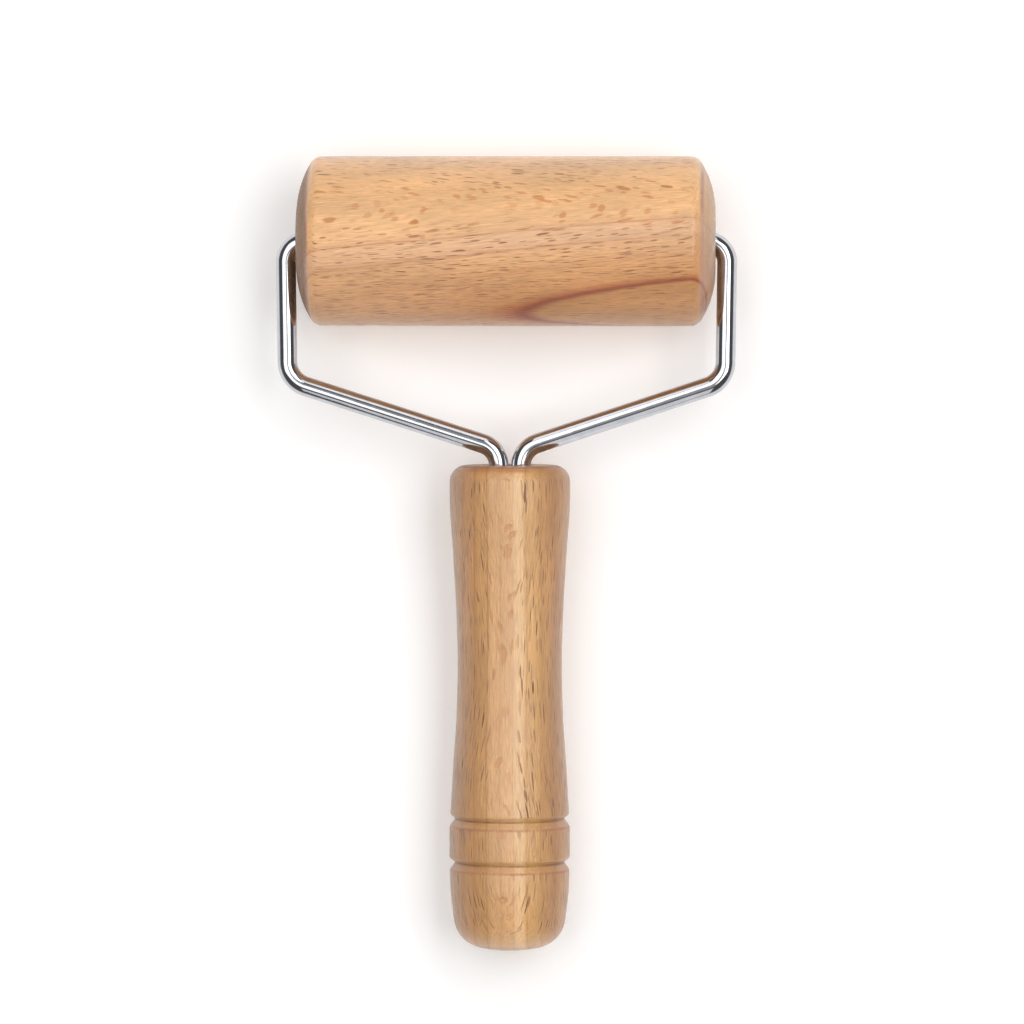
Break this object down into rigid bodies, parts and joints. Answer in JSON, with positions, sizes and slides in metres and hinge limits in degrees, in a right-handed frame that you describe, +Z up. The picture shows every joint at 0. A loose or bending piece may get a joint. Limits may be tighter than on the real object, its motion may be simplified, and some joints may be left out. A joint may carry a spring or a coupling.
{
  "type": "hand brayer",
  "caption": "Domed beech roller turning on a bent chromed wire yoke with a turned, grooved beech handle, for rolling ink, paper, clay or dough by hand.",
  "frame": {"origin": "on the surface the brayer lies on, under the middle of its bounding box", "axes": "+X along the roller's axis to the right, +Y from the handle to the roller, +Z up"},
  "size_m": [0.1104, 0.1902, 0.0406],
  "materials": {
    "roller_beech": "satin lacquered beech, grain along the roller",
    "handle_beech": "satin lacquered beech, grain along the handle",
    "wire_chrome": "bright chrome plating on drawn steel wire",
    "bush_nylon": "natural moulded nylon",
    "epoxy": "hardened amber epoxy"
  },
  "bodies": {
    "handle_and_yoke": {"handle": "handle_beech", "glue_plug": "epoxy", "left_yoke_wire": "wire_chrome", "right_yoke_wire": "wire_chrome"},
    "roller_assembly": {"roller": "roller_beech", "left_end_bush": "bush_nylon", "right_end_bush": "bush_nylon"}
  },
  "joints": [
    {"name": "roller_spin", "type": "hinge", "parent": "handle_and_yoke", "child": "roller_assembly", "pos_m": [0, 0.0748, 0.0203], "axis": [1, 0, 0], "continuous": true}
  ]
}
